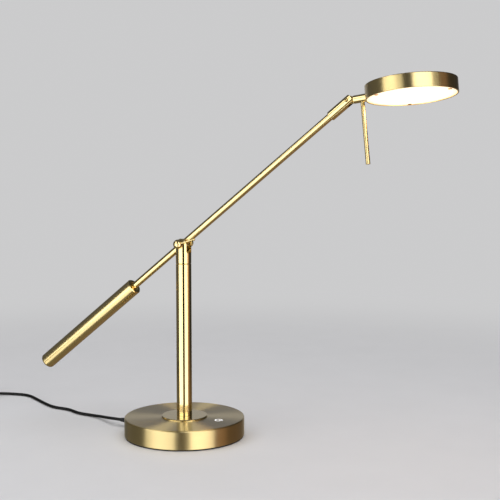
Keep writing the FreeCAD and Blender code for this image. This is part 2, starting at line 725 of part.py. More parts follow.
def counterweight():
    """Solid bar with a bevelled, countersunk front face and a rounded back end."""
    radius = WEIGHT_DIAMETER / 2
    front = PIVOT_TO_WEIGHT
    back = front + WEIGHT_LENGTH
    bar = turned([
        (0, front + ROD_SOCKET_DEPTH),
        (ARM_RADIUS, front + ROD_SOCKET_DEPTH),
        (ARM_RADIUS, front + WEIGHT_SINK),
        (WEIGHT_SINK_DIAMETER / 2, front),
        (radius - WEIGHT_BEVEL, front),
        (radius, front + WEIGHT_BEVEL),
        (radius, back, WEIGHT_END_ROUND),
        (0, back),
    ])
    return placed(flipped(along_x(bar)), ARM_PLACE)


# ---- knuckle: built along +X from the hinge --------------------------------------------------

HINGE_SHIFT = FreeCAD.Placement(X * PIVOT_TO_HINGE, FreeCAD.Rotation())
KNUCKLE_PLACE = ARM_PLACE.multiply(HINGE_SHIFT).multiply(turned_about(X, TURN_OF_HEAD))
HEAD_PLACE = KNUCKLE_PLACE.multiply(turned_about(Y, HINGE_BEND))


def hinge_screw_blank():
    """Screw along Y with a low head towards -Y."""
    head = rod(HINGE_HEAD_DIAMETER / 2, HINGE_HEAD_SEAT, HINGE_HEAD_SEAT + HINGE_HEAD_HEIGHT, -Y)
    shank = rod(HINGE_SCREW_DIAMETER / 2, -HINGE_HEAD_SEAT, SLEEVE_RADIUS - FITTED, Y)
    return joined([head, shank])


def grub_blank():
    low = ARM_RADIUS - GROOVE_DEPTH + SIDE_PLAY
    blank = rod(GRUB_DIAMETER / 2, low, SLEEVE_RADIUS - GRUB_BELOW_SURFACE, -Z)
    blank.translate(X * -GRUB_FROM_HINGE)
    return blank


def knuckle_sleeve():
    """Sleeve that turns on the arm's end, with two round ears for the stem's tongue."""
    blank = along_x(turned([
        (0, -SLEEVE_BORE_END),
        (ARM_RADIUS + SNUG, -SLEEVE_BORE_END),
        (ARM_RADIUS + SNUG, -SLEEVE_BACK),
        (SLEEVE_RADIUS - SLEEVE_LIP, -SLEEVE_BACK),
        (SLEEVE_RADIUS, SLEEVE_LIP - SLEEVE_BACK),
        (SLEEVE_RADIUS, EAR_RADIUS + 1),
        (0, EAR_RADIUS + 1),
    ]))
    front = box((0, -SLEEVE_DIAMETER, -SLEEVE_DIAMETER), (SLEEVE_DIAMETER,) * 3)
    waste = front.cut(rod(EAR_RADIUS, -SLEEVE_DIAMETER, SLEEVE_DIAMETER, Y))
    sleeve = blank.cut(waste)
    half = HINGE_SLOT_WIDTH / 2
    slot = box((-HINGE_SLOT_BACK, -half, -SLEEVE_DIAMETER), (SLEEVE_DIAMETER, half, SLEEVE_DIAMETER))
    lead_hole = rod(STEM_BORE / 2, -SLEEVE_BORE_END, 0, X)
    head_seat = rod(HINGE_HEAD_DIAMETER / 2, HINGE_HEAD_SEAT, SLEEVE_DIAMETER, -Y)
    screw_hole = rod(HINGE_SCREW_DIAMETER / 2, -SLEEVE_DIAMETER, SLEEVE_DIAMETER, Y)
    grub_hole = rod(GRUB_DIAMETER / 2, 0, SLEEVE_DIAMETER, -Z)
    grub_hole.translate(X * -GRUB_FROM_HINGE)
    cutters = [slot, lead_hole, head_seat, screw_hole, grub_hole]
    return placed(sleeve.cut(cutters), KNUCKLE_PLACE)


def hinge_screw():
    top = HINGE_HEAD_SEAT + HINGE_HEAD_HEIGHT
    half = HINGE_DRIVE_SLOT / 2
    drive = box(
        (-HINGE_HEAD_DIAMETER, -top - 1, -half), (HINGE_HEAD_DIAMETER, HINGE_HEAD_HEIGHT / 2 - top, half)
    )
    return placed(hinge_screw_blank().cut(drive), KNUCKLE_PLACE)


def swivel_grub_screw():
    return placed(grub_blank(), KNUCKLE_PLACE)


# ---- lamp head: built along +X from the hinge ------------------------------------------------

def in_head(shape):
    """Moves a shape built round the head's own centre to the end of the stem."""
    return placed(shape, FreeCAD.Placement(X * HINGE_TO_HEAD_CENTRE, FreeCAD.Rotation()))


def rod_place():
    """The handle rod hangs from the stem's axis, leaning a little towards the head."""
    lean = FreeCAD.Rotation(Y, 180 - ROD_LEAN)
    return FreeCAD.Placement(X * ROD_FROM_HINGE, lean)


def rod_tenon():
    return placed(rod(ROD_TENON / 2, STEM_BORE / 2 + TENON_ABOVE_BORE, STEM_RADIUS), rod_place())


def stem():
    """Tongue, polished cone and round stem, with a hollow threaded spigot into the head."""
    half = HINGE_SLOT_WIDTH / 2 - SIDE_PLAY
    low = TONGUE_WIDTH / 2
    eye = rod(low, -half, half, Y)
    tongue = box((0, -half, -low), (STEM_BORE_START, half, low))
    wall_at = HINGE_TO_HEAD_CENTRE - HEAD_RADIUS
    round_part = along_x(turned([
        (0, NECK_END),
        (STEM_RADIUS - NECK_CONE, NECK_END),
        (STEM_RADIUS, NECK_END + NECK_CONE),
        (STEM_RADIUS, wall_at + HEAD_WALL),
        (0, wall_at + HEAD_WALL),
    ]))
    head_outside = in_head(rod(HEAD_RADIUS, -HEAD_HALF, HEAD_HALF))
    spigot_end = wall_at + HEAD_WALL + STEM_SPIGOT_LENGTH
    spigot = rod(STEM_SPIGOT_DIAMETER / 2, wall_at - 1, spigot_end, X)
    lead_bore = rod(STEM_BORE / 2, STEM_BORE_START, spigot_end, X)
    mouth = vec(NECK_END - 1, half + STEM_LEAD_HOLE, 0)
    into_bore = vec(STEM_BORE_START + STEM_BORE / 2, 0, 0) - mouth
    lead_exit = Part.makeCylinder(STEM_LEAD_HOLE / 2, into_bore.Length, mouth, into_bore)
    screw_bore = rod(HINGE_SCREW_DIAMETER / 2 + SNUG, -STEM_DIAMETER, STEM_DIAMETER, Y)
    body = joined([eye, tongue, round_part]).cut(head_outside)
    whole = joined([body, spigot])
    return placed(whole.cut([lead_bore, lead_exit, screw_bore, rod_tenon()]), HEAD_PLACE)


def handle_rod():
    """Slightly tapered handle, seated on the stem."""
    top = ROD_TOP_DIAMETER / 2
    end = ROD_END_DIAMETER / 2
    bar = placed(turned([(0, 0), (top, 0), (end, ROD_REACH, ROD_EDGE), (0, ROD_REACH)]), rod_place())
    stem_round = rod(STEM_RADIUS, 0, HINGE_TO_HEAD_CENTRE, X)
    return placed(joined([bar.cut(stem_round), rod_tenon()]), HEAD_PLACE)


def at_screws(shape):
    """Copies of a shape on the circle of the diffuser's screws, the first one farthest out."""
    shape.translate(X * (SCREW_CIRCLE / 2))
    return round_pattern(shape, SCREW_COUNT, SCREW_TURN)


def head_shell():
    """Shallow cup, open below, with three bosses for the diffuser's screws."""
    cup = turned([
        (0, HEAD_CEILING),
        (HEAD_INSIDE, HEAD_CEILING, HEAD_INNER_CORNER),
        (HEAD_INSIDE, -HEAD_HALF),
        (HEAD_RADIUS, -HEAD_HALF, HEAD_RIM_EDGE),
        (HEAD_RADIUS, HEAD_HALF, HEAD_TOP_EDGE),
        (0, HEAD_HALF),
    ])
    bosses = at_screws(rod(BOSS_DIAMETER / 2, DIFFUSER_HIGH, HEAD_CEILING + HEAD_TOP / 2))
    holes = at_screws(rod(SCREW_SHANK / 2, DIFFUSER_HIGH - 1, DIFFUSER_HIGH + SCREW_LENGTH))
    stem_hole = rod(STEM_SPIGOT_DIAMETER / 2, HEAD_INSIDE / 2, HEAD_DIAMETER, -X)
    shell = joined([cup] + bosses).cut(holes + [stem_hole])
    return placed(in_head(shell), HEAD_PLACE)


def nut_face():
    """Distance from the head's centre to the flat that the stem's nut sits against."""
    return math.sqrt(HEAD_INSIDE ** 2 - STEM_NUT_FLATS ** 2 / 3)


def stem_nut():
    face = nut_face()
    nut = hexagon(STEM_NUT_FLATS, face - STEM_NUT_HEIGHT, face)
    nut = nut.cut(rod(STEM_SPIGOT_DIAMETER / 2, 0, HEAD_RADIUS))
    nut = placed(nut, turned_about(Z, 90))
    nut = placed(along_x(nut), turned_about(X, 90))
    return placed(in_head(flipped(nut)), HEAD_PLACE)


def board_cutters(clear):
    """Holes for the bosses and a notch for the stem's nut."""
    holes = at_screws(rod(BOSS_DIAMETER / 2 + clear, -HEAD_HEIGHT, HEAD_HEIGHT))
    half = NOTCH_WIDTH / 2
    notch = box((-HEAD_RADIUS, -half, -HEAD_HEIGHT), (NOTCH_DEPTH - HEAD_RADIUS, half, HEAD_HEIGHT))
    return holes + [notch]


def heat_spreader():
    disc = rod(HEAD_INSIDE - 2 * FITTED, SPREADER_LOW, HEAD_CEILING)
    return placed(in_head(disc.cut(board_cutters(FITTED))), HEAD_PLACE)


def led_board():
    """Round board with its light-emitting chips in three rings."""
    disc = rod(HEAD_INSIDE - 3 * FITTED, LED_BOARD_LOW, SPREADER_LOW)
    half = LED_SIDE / 2
    chips = []
    for count, circle in LED_RINGS:
        middle = circle / 2
        low = LED_BOARD_LOW - LED_HEIGHT
        chip = box((middle - half, -half, low), (middle + half, half, LED_BOARD_LOW))
        chips += round_pattern(chip, count, 180 / count)
    board = joined([disc.cut(board_cutters(FITTED))] + chips)
    return placed(in_head(board), HEAD_PLACE)


def diffuser_screw():
    shank = rod(SCREW_SHANK / 2, DIFFUSER_LOW, DIFFUSER_LOW + SCREW_LENGTH)
    head = turned([
        (0, DIFFUSER_LOW - SCREW_HEAD_HEIGHT),
        (SCREW_HEAD / 2, DIFFUSER_LOW - SCREW_HEAD_HEIGHT, SCREW_HEAD_EDGE),
        (SCREW_HEAD / 2, DIFFUSER_LOW),
        (0, DIFFUSER_LOW),
    ])
    return joined([shank, head])


def diffuser_screws():
    return placed(in_head(group(at_screws(diffuser_screw()))), HEAD_PLACE)


def diffuser():
    """Opal disc, a little inside the rim."""
    radius = HEAD_INSIDE - FITTED
    disc = turned([
        (0, DIFFUSER_LOW),
        (radius, DIFFUSER_LOW, DIFFUSER_EDGE),
        (radius, DIFFUSER_HIGH),
        (0, DIFFUSER_HIGH),
    ])
    holes = at_screws(rod(SCREW_SHANK / 2, DIFFUSER_LOW - 1, DIFFUSER_HIGH + 1))
    return placed(in_head(disc.cut(holes)), HEAD_PLACE)


# ---- cords -----------------------------------------------------------------------------------

def rounded_route(points, name):
    """Straight runs joined by tangent arcs, each as large as its two runs allow."""
    spots = [vec(*point) for point in points]
    edges = []
    radii = []
    here = spots[0]
    for before, corner, after in zip(spots, spots[1:], spots[2:]):
        back = before - corner
        on = after - corner
        half = back.getAngle(on) / 2
        reach = 0.45 * min(back.Length, on.Length)
        radius = reach * math.tan(half)
        start = corner + unit(back) * reach
        end = corner + unit(on) * reach
        middle = corner + unit(unit(back) + unit(on)) * (radius / math.sin(half) - radius)
        edges.append(Part.LineSegment(here, start).toShape())
        edges.append(Part.Arc(start, middle, end).toShape())
        radii.append(round(radius, 1))
        here = end
    edges.append(Part.LineSegment(here, spots[-1]).toShape())
    print(name, "bend radii", radii)
    return Part.Wire(edges)


def tube_along(path, diameter, name):
    """Round tube swept along a wire, with its volume checked against section times length."""
    start = path.Edges[0].valueAt(path.Edges[0].FirstParameter)
    heading = path.Edges[0].tangentAt(path.Edges[0].FirstParameter)
    section = Part.Wire(Part.makeCircle(diameter / 2, start, heading))
    tube = path.makePipeShell([section], True, False)
    expected = math.pi * diameter ** 2 / 4 * path.Length
    print(name, "length", round(path.Length, 1), "volume ratio", round(tube.Volume / expected, 4))
    return tube


def straight_runs(points, diameter, name):
    return tube_along(rounded_route(points, name), diameter, name)


def mains_inner_lead():
    """Inside the foot, from the strain relief to the board's terminal block."""
    start = SHELL_INSIDE - RELIEF_FLANGE_LENGTH
    terminal = BOARD_MIDDLE_X - BOARD_LENGTH / 2
    high = BOARD_TOP + LEAD_ABOVE_BOARD
    points = [
        (-start, 0, CORD_HEIGHT),
        (-0.6 * start, 0, CORD_HEIGHT),
        (-0.18 * start, -0.18 * LEAD_SIDE, high),
        (0.3 * terminal, -LEAD_SIDE, high),
        (terminal, -LEAD_SIDE, high),
    ]
    return straight_runs(points, LEAD_DIAMETER, "mains_inner_lead")


def column_lead():
    """From the terminal block through the nipple and the column, up into the fork's bore."""
    terminal = BOARD_MIDDLE_X - BOARD_LENGTH / 2
    high = BOARD_TOP + LEAD_ABOVE_BOARD
    rise = 0.28 * terminal
    points = [(terminal, 0, high), (0.43 * terminal, 0, high), (0, 0, high + rise)]
    points.append((0, 0, PIVOT_HEIGHT - FORK_BORE_LEAD_END))
    return straight_runs(points, HEAD_LEAD_DIAMETER, "column_lead")


def arm_lead():
    """Lies on the bottom of the arm tube's bore."""
    bar = rod(HEAD_LEAD_DIAMETER / 2, LEAD_HOLE_TO, TUBE_END, X)
    bar.translate(Z * (HEAD_LEAD_DIAMETER / 2 + ARM_WALL - ARM_RADIUS))
    return placed(bar, ARM_PLACE)


def power_cord():
    return straight_runs(CORD_ROUTE + [tuple(coil_entry())], CORD_DIAMETER, "power_cord")


def heading(degrees):
    angle = math.radians(degrees)
    return vec(math.cos(angle), math.sin(angle), 0)


def coil_entry():
    """Where the free cord ends and the coil's straight start begins."""
    return vec(*CORD_ROUTE[-1]) + heading(COIL_HEADING) * LAST_RUN


def coil_centre():
    """The coil turns to the left of the way the cord arrives."""
    start = coil_entry() + heading(COIL_HEADING) * CORD_DIAMETER
    return start + heading(COIL_HEADING + 90) * COIL_OUTER_RADIUS


def coil_stations():
    """(turn in degrees, radius, height) at every half turn: in, up, out, up, in, up, out."""
    turn = 0.0
    radius = COIL_OUTER_RADIUS
    height = 0.0
    stations = [(turn, radius, height)]
    for layer in range(COIL_LAYERS):
        step = -COIL_STEP / 2 if layer % 2 == 0 else COIL_STEP / 2
        for _ in range(COIL_HALF_TURNS):
            turn += 180
            radius += step
            stations.append((turn, radius, height))
        if layer < COIL_LAYERS - 1:
            turn += 180
            height += COIL_LAYER_STEP
            stations.append((turn, radius, height))
    stations[-1] = (turn - 90, radius - step / 2, height)
    return stations


def biarc(start, start_way, end, end_way):
    """Two tangent arcs from one point and direction to another."""
    gap = end - start
    ways = start_way + end_way
    a = ways.dot(ways) - 4
    b = -2 * gap.dot(ways)
    c = gap.dot(gap)
    reach = (-b - math.sqrt(b * b - 4 * a * c)) / (2 * a)
    first = start + start_way * reach
    second = end - end_way * reach
    joint = (first + second) * 0.5
    arcs = []
    for low, knee, high in ((start, first, joint), (joint, second, end)):
        chord = (low + high) * 0.5
        half = (high - low).Length / 2
        rise = half * math.tan(math.acos(min(1.0, half / reach)) / 2)
        middle = chord + unit(knee - chord) * rise
        arcs.append(Part.Arc(low, middle, high).toShape())
    return arcs


def coil_end():
    """Place and heading of the coil's last point, after its straight end."""
    turn, radius, height = coil_stations()[-1]
    angle = COIL_HEADING - 90 + turn
    way = heading(angle + 90)
    spot = coil_centre() + heading(angle) * radius + Z * height
    return spot + way * CORD_DIAMETER, way


def coil_path():
    centre = coil_centre()
    spots = []
    for turn, radius, height in coil_stations():
        angle = COIL_HEADING - 90 + turn
        spots.append((centre + heading(angle) * radius + Z * height, heading(angle + 90)))
    first, first_way = spots[0]
    edges = [Part.LineSegment(first - first_way * CORD_DIAMETER, first).toShape()]
    for (start, start_way), (end, end_way) in zip(spots, spots[1:]):
        edges += biarc(start, start_way, end, end_way)
    last, last_way = spots[-1]
    edges.append(Part.LineSegment(last, last + last_way * CORD_DIAMETER).toShape())
    return Part.Wire(edges)


def least_gap(path, diameter):
    """Smallest clear distance between stretches of the tube that aren't neighbours on it."""
    count = int(path.Length / 2)
    points = path.discretize(count)
    skip = int(3 * diameter / (path.Length / count))
    closest = min(
        (points[i] - points[j]).Length
        for i in range(count)
        for j in range(i + skip, count)
    )
    return closest - diameter


def cord_coil():
    path = coil_path()
    print("cord_coil least gap", round(least_gap(path, CORD_DIAMETER), 2))
    return tube_along(path, CORD_DIAMETER, "cord_coil")


def cord_tie():
    """Flat band round all the coil's turns; the coil lies on its lower side."""
    inner = COIL_INNER_RADIUS - CORD_RADIUS - TIE_GAP
    outer = COIL_OUTER_RADIUS + CORD_RADIUS + TIE_GAP
    top = TIE_THICKNESS + CORD_DIAMETER + COIL_LAYER_STEP * (COIL_LAYERS - 1) + TIE_GAP
    half = TIE_WIDTH / 2
    thick = TIE_THICKNESS
    band = box((inner - thick, -half, 0), (outer + thick, half, top + thick))
    window = box((inner, -half, thick), (outer, half, top))
    place = coil_centre()
    place.z = 0
    turn = FreeCAD.Rotation(Z, COIL_HEADING - 90 + TIE_TURN)
    return placed(band.cut(window), FreeCAD.Placement(place, turn))


def tail_points():
    """From the coil's top layer down to the height of the plug that lies beside it."""
    spot, way = coil_end()
    low = PLUG_HEIGHT / 2
    first, second, third = TAIL_RUNS
    knee = spot + way * first
    foot = knee + way * second
    foot.z = low
    return [tuple(spot), tuple(knee), tuple(foot), tuple(foot + way * third)]


def plug_lead():
    return straight_runs(tail_points(), CORD_DIAMETER, "plug_lead")


def plug_place():
    end = vec(*tail_points()[-1])
    return FreeCAD.Placement(end, FreeCAD.Rotation(X, coil_end()[1]))


def plug_section(along, width, height, corner):
    """Rounded rectangle across the plug, at a distance from its cord end."""
    x = width / 2
    z = height / 2
    wire = outline([(-x, -z, corner), (x, -z, corner), (x, z, corner), (-x, z, corner)])
    wire.rotate(ORIGIN, Z, 90)
    wire.translate(X * along)
    return wire


def power_plug():
    """Moulded two-pole plug that widens from the cord to a flat face."""
    neck = plug_section(0, PLUG_NECK, PLUG_NECK, PLUG_NECK * 0.45)
    waist = plug_section(PLUG_LENGTH * 0.3, PLUG_WIDTH * 0.4, PLUG_HEIGHT * 0.8, PLUG_CORNER * 0.7)
    shoulder = plug_section(PLUG_LENGTH * 0.62, PLUG_WIDTH * 0.88, PLUG_HEIGHT, PLUG_CORNER)
    face = plug_section(PLUG_LENGTH, PLUG_WIDTH, PLUG_HEIGHT, PLUG_CORNER)
    return placed(Part.makeLoft([neck, waist, shoulder, face], True, True), plug_place())


def plug_pins():
    pin = along_x(turned([
        (0, PLUG_LENGTH),
        (PIN_DIAMETER / 2, PLUG_LENGTH),
        (PIN_DIAMETER / 2, PLUG_LENGTH + PIN_LENGTH, PIN_TIP_ROUND),
        (0, PLUG_LENGTH + PIN_LENGTH),
    ]))
    pins = [placed(pin, FreeCAD.Placement(Y * side, FreeCAD.Rotation())) for side in
            (-PIN_SPACING / 2, PIN_SPACING / 2)]
    return placed(group(pins), plug_place())


# ---- writing the pieces ----------------------------------------------------------------------

PIECES = (
    foot_pad, bottom_cover, cover_screws, base_shell, base_weight, dimmer_board, touch_contact,
    strain_relief, mains_inner_lead, centre_plate, foot_ring, column_tube, column_foot_plug,
    column_nipple, nipple_washer, nipple_nut, swivel_bush, column_lead,
    fork_head, swivel_clip, pivot_bolt, clamp_knob, clamp_lever,
    arm_hub, friction_washers, arm_tube, arm_lead, rear_rod, counterweight,
    knuckle_sleeve, hinge_screw, swivel_grub_screw,
    stem, handle_rod, head_shell, stem_nut, heat_spreader, led_board, diffuser, diffuser_screws,
    power_cord, cord_coil, cord_tie, plug_lead, power_plug, plug_pins,
)


def main():
    os.makedirs("parts", exist_ok=True)
    for piece in PIECES:
        shape = piece()
        shape.exportStep("parts/" + piece.__name__ + ".step")
    hinge = KNUCKLE_PLACE.multVec(ORIGIN)
    print("pivot height", round(PIVOT_HEIGHT, 2), "hinge", [round(c, 3) for c in hinge])
    print("arm axis", [round(c, 6) for c in ARM_PLACE.Rotation.multVec(X)])
    print("hinge axis", [round(c, 6) for c in KNUCKLE_PLACE.Rotation.multVec(Y)])


main()
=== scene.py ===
import math

import bmesh
import bpy
from mathutils import Matrix, Vector

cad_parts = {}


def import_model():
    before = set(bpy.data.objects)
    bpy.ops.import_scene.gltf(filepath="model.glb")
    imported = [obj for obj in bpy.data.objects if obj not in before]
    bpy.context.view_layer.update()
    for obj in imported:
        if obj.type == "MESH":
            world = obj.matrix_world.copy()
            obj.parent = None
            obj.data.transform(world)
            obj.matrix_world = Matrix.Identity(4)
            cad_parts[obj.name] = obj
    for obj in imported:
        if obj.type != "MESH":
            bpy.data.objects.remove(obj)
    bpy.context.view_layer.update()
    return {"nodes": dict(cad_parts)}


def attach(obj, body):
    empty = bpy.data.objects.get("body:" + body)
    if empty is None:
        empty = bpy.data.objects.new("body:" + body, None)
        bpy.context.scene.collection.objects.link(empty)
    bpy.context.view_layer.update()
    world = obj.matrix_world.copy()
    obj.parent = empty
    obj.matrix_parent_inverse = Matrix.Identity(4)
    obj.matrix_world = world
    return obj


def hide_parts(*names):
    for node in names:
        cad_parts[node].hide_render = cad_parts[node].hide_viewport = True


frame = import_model()

MM = 0.001
ORIGIN = Vector((0, 0, 0))
FRONT = Vector((1, 0, 0))
UP = Vector((0, 0, 1))

# ---- places, as in the part's source --------------------------------------------------------

BASE_TOP = 22.8 * MM            # top of the foot, above the table
PIVOT_HEIGHT = 225.2 * MM
PIVOT_TO_HINGE = 258.2 * MM
HINGE_TO_HEAD_CENTRE = 71.0 * MM
LIT_RADIUS = 45.5 * MM          # of the lit disc
ARM_ANGLE = math.radians(37.8)  # above level
TURN_OF_HEAD = math.radians(-6.8)
HINGE_BEND = math.radians(30.3)

PIVOT = UP * PIVOT_HEIGHT
ARM_AXIS = Vector((math.cos(ARM_ANGLE), 0, math.sin(ARM_ANGLE)))
HINGE = PIVOT + ARM_AXIS * PIVOT_TO_HINGE
KNUCKLE_TURN = Matrix.Rotation(-ARM_ANGLE, 3, "Y") @ Matrix.Rotation(TURN_OF_HEAD, 3, "X")
HEAD_TURN = KNUCKLE_TURN @ Matrix.Rotation(HINGE_BEND, 3, "Y")
HEAD_CENTRE = HINGE + HEAD_TURN @ (FRONT * HINGE_TO_HEAD_CENTRE)
HEAD_AXIS = HEAD_TURN @ UP
STEM_AXIS = HEAD_TURN @ FRONT

STUDIO_TURN = math.radians(28)  # from the lamp's own axes to the studio's


def studio(x, y, z):
    """A point given as right, away and up from the middle of the foot, as the camera looks."""
    return Vector((
        x * math.cos(STUDIO_TURN) - y * math.sin(STUDIO_TURN),
        x * math.sin(STUDIO_TURN) + y * math.cos(STUDIO_TURN),
        z,
    ))


# ---- shader helpers -------------------------------------------------------------------------

class Graph:
    """A material with one Principled shader, and short calls for the nodes in front of it."""

    def __init__(self, name, **settings):
        self.material = bpy.data.materials.new(name)
        self.material.use_nodes = True
        self.tree = self.material.node_tree
        self.tree.nodes.clear()
        self.shader = self.node("ShaderNodeBsdfPrincipled", **settings)
        self.output = self.node("ShaderNodeOutputMaterial", Surface=self.shader)

    def node(self, kind, options=(), **inputs):
        made = self.tree.nodes.new(kind)
        for key, value in dict(options).items():
            setattr(made, key, value)
        for key, value in inputs.items():
            place = int(key[1:]) if key[1:].isdigit() else key.replace("_", " ")
            self.feed(made.inputs[place], value)
        return made

    def feed(self, socket, value):
        if isinstance(value, bpy.types.NodeSocket):
            self.tree.links.new(value, socket)
        elif isinstance(value, bpy.types.Node):
            self.tree.links.new(value.outputs[0], socket)
        elif isinstance(value, tuple) and len(value) == 3 and socket.type == "RGBA":
            socket.default_value = (*value, 1.0)
        else:
            socket.default_value = value

    def surface(self, **inputs):
        """Feed the shader's own sockets by name."""
        for key, value in inputs.items():
            self.feed(self.shader.inputs[key.replace("_", " ")], value)

    def math(self, operation, a, b):
        return self.node("ShaderNodeMath", {"operation": operation}, i0=a, i1=b)

    def weigh(self, share, a, b):
        """A mean of two values, with a share for the first and the rest for the second."""
        first = self.math("MULTIPLY", a, share)
        second = self.math("MULTIPLY", b, 1 - share)
        return self.math("ADD", first, second)

    def vector(self, operation, a, b=(0, 0, 0)):
        made = self.node("ShaderNodeVectorMath", {"operation": operation}, i0=a)
        self.feed(made.inputs["Scale" if operation == "SCALE" else 1], b)
        return made.outputs["Value" if operation in ("DOT_PRODUCT", "LENGTH") else 0]

    def place(self):
        return self.node("ShaderNodeTexCoord").outputs["Object"]

    def noise(self, vector, scale, detail, roughness):
        return self.node(
            "ShaderNodeTexNoise", Vector=vector, Scale=scale, Detail=detail, Roughness=roughness,
        ).outputs["Fac"]

    def remap(self, value, low, high, to_low=0.0, to_high=1.0):
        return self.node(
            "ShaderNodeMapRange", {"clamp": True}, Value=value, From_Min=low, From_Max=high,
            To_Min=to_low, To_Max=to_high,
        ).outputs[0]

    def mix(self, factor, a, b):
        made = self.node("ShaderNodeMix", {"data_type": "RGBA"})
        self.feed(made.inputs["Factor"], factor)
        self.feed(made.inputs[6], a)
        self.feed(made.inputs[7], b)
        return made.outputs[2]

    def bump(self, height, strength, distance):
        made = self.node("ShaderNodeBump", Strength=strength, Distance=distance, Height=height)
        return made.outputs[0]


# ---- metals ---------------------------------------------------------------------------------

BRASS = (0.86, 0.68, 0.3)
BRASS_DEEP = (0.76, 0.57, 0.215)
REDDISH = (0.62, 0.27, 0.13)
REDDISH_DEEP = (0.45, 0.17, 0.08)
LACQUER = 1.0                   # clear lacquer over all the brass
GLOSS = 0.05                    # roughness of the lacquer over polished brass
SATIN = 0.25                    # and over brushed brass
ACROSS_LINES = 0.25             # a quarter turn from the way that a lathe's lines run
LINE_SCALE = 3800.0             # of a lathe's brushed lines, per metre
HAIR_SCALE = 5200.0             # of the hair-fine lines on polished tubes
LINE_HEIGHT = 0.02 * MM
LINE_WANDER = 0.0016            # keeps the brushed lines from being perfect circles


def brass(name, roughness, spread=0.03, colour=BRASS, deep=BRASS_DEEP):
    """Polished or satin brass with faint cloudy wear."""
    g = Graph(name, Metallic=1.0, Coat_Weight=LACQUER, Coat_Roughness=GLOSS)
    place = g.place()
    clouds = g.noise(place, 38.0, 4.0, 0.6)
    specks = g.noise(place, 900.0, 2.0, 0.5)
    tarnish = g.remap(clouds, 0.35, 0.75, 0.0, 0.45)
    wear = g.weigh(0.7, clouds, specks)
    g.surface(
        Base_Color=g.mix(tarnish, colour, deep),
        Roughness=g.remap(wear, 0.3, 0.7, roughness, roughness + spread),
        Normal=g.bump(specks, 0.008, 0.05 * MM),
    )
    return g


def lathe_frame(g, centre, axis):
    """Distance from a lathe's axis, height along it and the way round it, as node sockets.

    The shader's tangent also gets the way round, so that highlights follow the lathe's lines.
    """
    from_centre = g.vector("SUBTRACT", g.place(), tuple(centre))
    round_way = g.vector("CROSS_PRODUCT", tuple(axis), from_centre)
    height = g.vector("DOT_PRODUCT", from_centre, tuple(axis))
    radius = g.vector("LENGTH", round_way)
    way = g.vector("NORMALIZE", round_way)
    tangent = g.node(
        "ShaderNodeVectorTransform",
        {"vector_type": "VECTOR", "convert_from": "OBJECT", "convert_to": "WORLD"}, Vector=way,
    )
    g.surface(Tangent=tangent)
    return radius, height, way


def along(name, centre, axis, roughness, anisotropy=0.5):
    """Polished brass bar or tube: hair-fine lines run round its own axis."""
    g = Graph(
        name, Metallic=1.0, Anisotropic=anisotropy, Anisotropic_Rotation=ACROSS_LINES,
        Coat_Weight=LACQUER, Coat_Roughness=GLOSS,
    )
    _, height, _ = lathe_frame(g, centre, axis)
    place = g.place()
    lines = g.node("ShaderNodeCombineXYZ", X=height)
    fine = g.noise(lines, HAIR_SCALE, 2.0, 0.6)
    clouds = g.noise(place, 30.0, 4.0, 0.6)
    tarnish = g.remap(clouds, 0.35, 0.75, 0.0, 0.4)
    g.surface(
        Base_Color=g.mix(tarnish, BRASS, BRASS_DEEP),
        Roughness=g.remap(fine, 0.25, 0.75, roughness, roughness + 0.02),
        Normal=g.bump(fine, 0.01, LINE_HEIGHT),
    )
    return g


def spun(name, centre, axis, roughness, anisotropy):
    """Brass brushed on a lathe: the lines run in circles about an axis."""
    g = Graph(
        name, Metallic=1.0, Anisotropic=anisotropy, Anisotropic_Rotation=ACROSS_LINES,
        Coat_Weight=LACQUER, Coat_Roughness=SATIN,
    )
    radius, height, way = lathe_frame(g, centre, axis)
    place = g.place()
    rings = g.node("ShaderNodeCombineXYZ", X=radius, Y=height)
    rings = g.vector("ADD", rings, g.vector("SCALE", way, LINE_WANDER))
    fine = g.noise(rings, LINE_SCALE, 3.0, 0.65)
    broad = g.noise(rings, 700.0, 2.0, 0.5)
    clouds = g.noise(place, 22.0, 3.0, 0.6)
    tarnish = g.remap(g.weigh(0.55, fine, clouds), 0.35, 0.7, 0.0, 0.55)
    lines = g.weigh(0.7, fine, broad)
    g.surface(
        Base_Color=g.mix(tarnish, BRASS, BRASS_DEEP),
        Roughness=g.remap(lines, 0.3, 0.7, roughness - 0.03, roughness + 0.05),
        Normal=g.bump(fine, 0.12, LINE_HEIGHT),
    )
    return g


def steel(name, colour=(0.55, 0.55, 0.56), roughness=0.32):
    """White metal with a fine, even grain."""
    g = Graph(name, Metallic=1.0)
    grain = g.noise(g.place(), 420.0, 4.0, 0.6)
    g.surface(
        Base_Color=g.mix(grain, tuple(c * 0.8 for c in colour), colour),
        Roughness=g.remap(grain, 0.3, 0.7, roughness - 0.06, roughness + 0.1),
        Normal=g.bump(grain, 0.06, 0.1 * MM),
    )
    return g


def iron(name):
    """Dark casting with a coarse skin."""
    g = Graph(name, Metallic=0.6, Roughness=0.75)
    grain = g.noise(g.place(), 260.0, 6.0, 0.7)
    g.surface(
        Base_Color=g.mix(grain, (0.03, 0.03, 0.033), (0.11, 0.1, 0.1)),
        Normal=g.bump(grain, 0.5, 0.5 * MM),
    )
    return g


# ---- plastics, boards and the lit disc ------------------------------------------------------

def plastic(name, colour, roughness, grain_scale=1500.0, grain=0.15, depth=0.08 * MM, lighter=1.5):
    """Moulded plastic or rubber: a fine grain and faint paler clouds."""
    g = Graph(name, Specular_IOR_Level=0.3)
    place = g.place()
    fine = g.noise(place, grain_scale, 3.0, 0.55)
    clouds = g.noise(place, 45.0, 3.0, 0.5)
    pale = tuple(min(1.0, c * lighter) for c in colour)
    g.surface(
        Base_Color=g.mix(g.remap(clouds, 0.3, 0.75), colour, pale),
        Roughness=g.remap(fine, 0.3, 0.7, roughness - 0.05, roughness + 0.07),
        Normal=g.bump(fine, grain, depth),
    )
    return g


